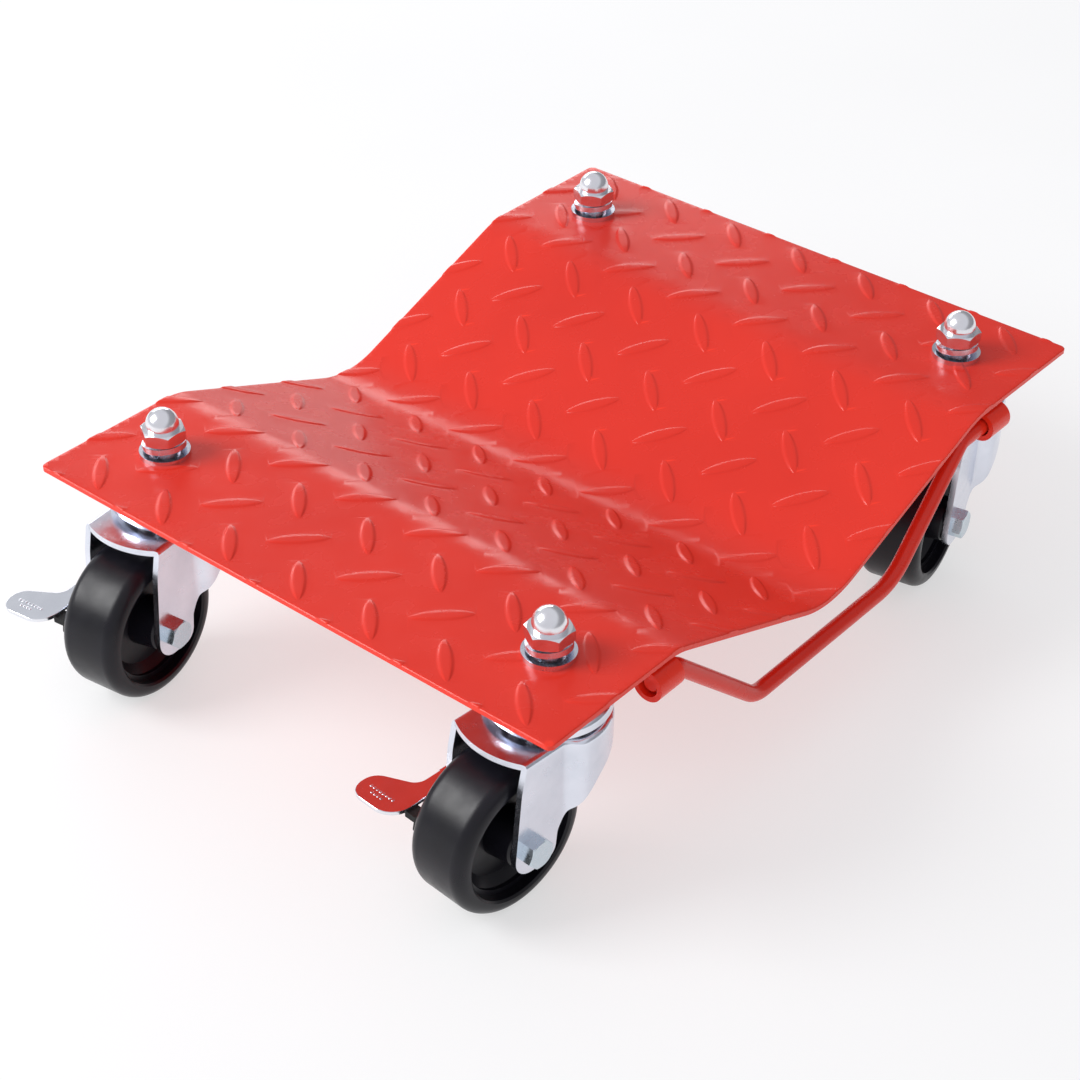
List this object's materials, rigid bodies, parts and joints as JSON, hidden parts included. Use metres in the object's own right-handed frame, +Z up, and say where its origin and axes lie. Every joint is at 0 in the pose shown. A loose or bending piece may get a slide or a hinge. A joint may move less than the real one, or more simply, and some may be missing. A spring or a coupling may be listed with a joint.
{
  "type": "wheel dolly",
  "caption": "Low steel dolly whose bent tread-plate deck cradles one car tyre, on braked swivel casters, with a hanging bail handle for pulling it sideways.",
  "frame": {"origin": "on the floor, directly below the middle of the deck plate", "axes": "+Z up; +X across the tyre cradle, from one raised flange to the other; the handle hangs from the -Y edge"},
  "size_m": [0.4305, 0.3291, 0.1369],
  "materials": {
    "red_powder_coat": "gloss red powder coat on steel tread plate and bar",
    "bright_zinc": "bright zinc plate on pressed sheet steel, faint blue cast",
    "polished_zinc": "smooth mirror-like zinc plate on the stamped pedal",
    "chrome_plate": "polished plate on domed nuts",
    "blue_zinc": "blue passivated zinc on bolts, nuts and pins",
    "ball_steel": "hardened bearing balls, greased",
    "black_polypropylene": "moulded black polypropylene, semi-gloss tread, duller recesses",
    "grey_nylon": "plain nylon bush",
    "black_rubber": "moulded black brake rubber"
  },
  "bodies": {
    "deck_frame": {"deck": "red_powder_coat", "handle_lug_left": "red_powder_coat", "handle_lug_right": "red_powder_coat", "deck_washers": "bright_zinc", "lock_washers": "bright_zinc", "cap_nuts": "chrome_plate", "under_washers": "bright_zinc", "stem_nuts": "bright_zinc", "king_bolts": "blue_zinc", "lower_races": "bright_zinc", "upper_race_front_left": "bright_zinc", "upper_race_rear_left": "bright_zinc", "upper_race_front_right": "bright_zinc", "upper_race_rear_right": "bright_zinc"},
    "swivel_front_left": {"fork_front_left": "bright_zinc", "swivel_balls_front_left": "ball_steel", "axle_bolt_front_left": "blue_zinc", "axle_nut_front_left": "blue_zinc", "axle_sleeve_front_left": "bright_zinc", "brake_bracket_front_left": "bright_zinc", "brake_pin_front_left": "blue_zinc"},
    "roller_front_left": {"wheel_front_left": "black_polypropylene", "wheel_bush_front_left": "grey_nylon"},
    "brake_front_left": {"brake_pedal_front_left": "polished_zinc", "brake_shoe_front_left": "black_rubber"},
    "swivel_rear_left": {"fork_rear_left": "bright_zinc", "swivel_balls_rear_left": "ball_steel", "axle_bolt_rear_left": "blue_zinc", "axle_nut_rear_left": "blue_zinc", "axle_sleeve_rear_left": "bright_zinc", "brake_bracket_rear_left": "bright_zinc", "brake_pin_rear_left": "blue_zinc"},
    "roller_rear_left": {"wheel_rear_left": "black_polypropylene", "wheel_bush_rear_left": "grey_nylon"},
    "brake_rear_left": {"brake_pedal_rear_left": "polished_zinc", "brake_shoe_rear_left": "black_rubber"},
    "swivel_front_right": {"fork_front_right": "bright_zinc", "swivel_balls_front_right": "ball_steel", "axle_bolt_front_right": "blue_zinc", "axle_nut_front_right": "blue_zinc", "axle_sleeve_front_right": "bright_zinc", "brake_bracket_front_right": "bright_zinc", "brake_pin_front_right": "blue_zinc"},
    "roller_front_right": {"wheel_front_right": "black_polypropylene", "wheel_bush_front_right": "grey_nylon"},
    "brake_front_right": {"brake_pedal_front_right": "polished_zinc", "brake_shoe_front_right": "black_rubber"},
    "swivel_rear_right": {"fork_rear_right": "bright_zinc", "swivel_balls_rear_right": "ball_steel", "axle_bolt_rear_right": "blue_zinc", "axle_nut_rear_right": "blue_zinc", "axle_sleeve_rear_right": "bright_zinc", "brake_bracket_rear_right": "bright_zinc", "brake_pin_rear_right": "blue_zinc"},
    "roller_rear_right": {"wheel_rear_right": "black_polypropylene", "wheel_bush_rear_right": "grey_nylon"},
    "brake_rear_right": {"brake_pedal_rear_right": "polished_zinc", "brake_shoe_rear_right": "black_rubber"},
    "handle_bail": {"handle": "red_powder_coat"}
  },
  "joints": [
    {"name": "swivel_turn_front_left", "type": "hinge", "parent": "deck_frame", "child": "swivel_front_left", "pos_m": [-0.1575, -0.114, 0.09], "axis": [0, 0, 1], "continuous": true},
    {"name": "wheel_roll_front_left", "type": "hinge", "parent": "swivel_front_left", "child": "roller_front_left", "pos_m": [-0.18791, -0.11161, 0.0375], "axis": [-0.0785, -0.9969, 0], "continuous": true},
    {"name": "brake_press_front_left", "type": "hinge", "parent": "swivel_front_left", "child": "brake_front_left", "pos_m": [-0.17527, -0.08492, 0.052], "axis": [-0.9969, 0.0785, 0], "range_deg": [0, 9]},
    {"name": "swivel_turn_rear_left", "type": "hinge", "parent": "deck_frame", "child": "swivel_rear_left", "pos_m": [-0.1585, 0.1165, 0.09], "axis": [0, 0, 1], "continuous": true},
    {"name": "wheel_roll_rear_left", "type": "hinge", "parent": "swivel_rear_left", "child": "roller_rear_left", "pos_m": [-0.18874, 0.11252, 0.0375], "axis": [0.1305, -0.9914, 0], "continuous": true},
    {"name": "brake_press_rear_left", "type": "hinge", "parent": "swivel_rear_left", "child": "brake_rear_left", "pos_m": [-0.18193, 0.14125, 0.052], "axis": [-0.9914, -0.1305, 0], "range_deg": [0, 9]},
    {"name": "swivel_turn_front_right", "type": "hinge", "parent": "deck_frame", "child": "swivel_front_right", "pos_m": [0.1605, -0.114, 0.09], "axis": [0, 0, 1], "continuous": true},
    {"name": "wheel_roll_front_right", "type": "hinge", "parent": "swivel_front_right", "child": "roller_front_right", "pos_m": [0.13051, -0.11956, 0.0375], "axis": [0.1822, -0.9833, 0], "continuous": true},
    {"name": "brake_press_front_right", "type": "hinge", "parent": "swivel_front_right", "child": "brake_front_right", "pos_m": [0.13581, -0.09051, 0.052], "axis": [-0.9833, -0.1822, 0], "range_deg": [0, 9]},
    {"name": "swivel_turn_rear_right", "type": "hinge", "parent": "deck_frame", "child": "swivel_rear_right", "pos_m": [0.1595, 0.1165, 0.09], "axis": [0, 0, 1], "continuous": true},
    {"name": "wheel_roll_rear_right", "type": "hinge", "parent": "swivel_rear_right", "child": "roller_rear_right", "pos_m": [0.1293, 0.11226, 0.0375], "axis": [0.1392, -0.9903, 0], "continuous": true},
    {"name": "brake_press_rear_right", "type": "hinge", "parent": "swivel_rear_right", "child": "brake_rear_right", "pos_m": [0.13585, 0.14105, 0.052], "axis": [-0.9903, -0.1392, 0], "range_deg": [0, 9]},
    {"name": "handle_swing", "type": "hinge", "parent": "deck_frame", "child": "handle_bail", "pos_m": [0, -0.149, 0.1005], "axis": [-1, 0, 0], "range_deg": [-40, 80]}
  ]
}
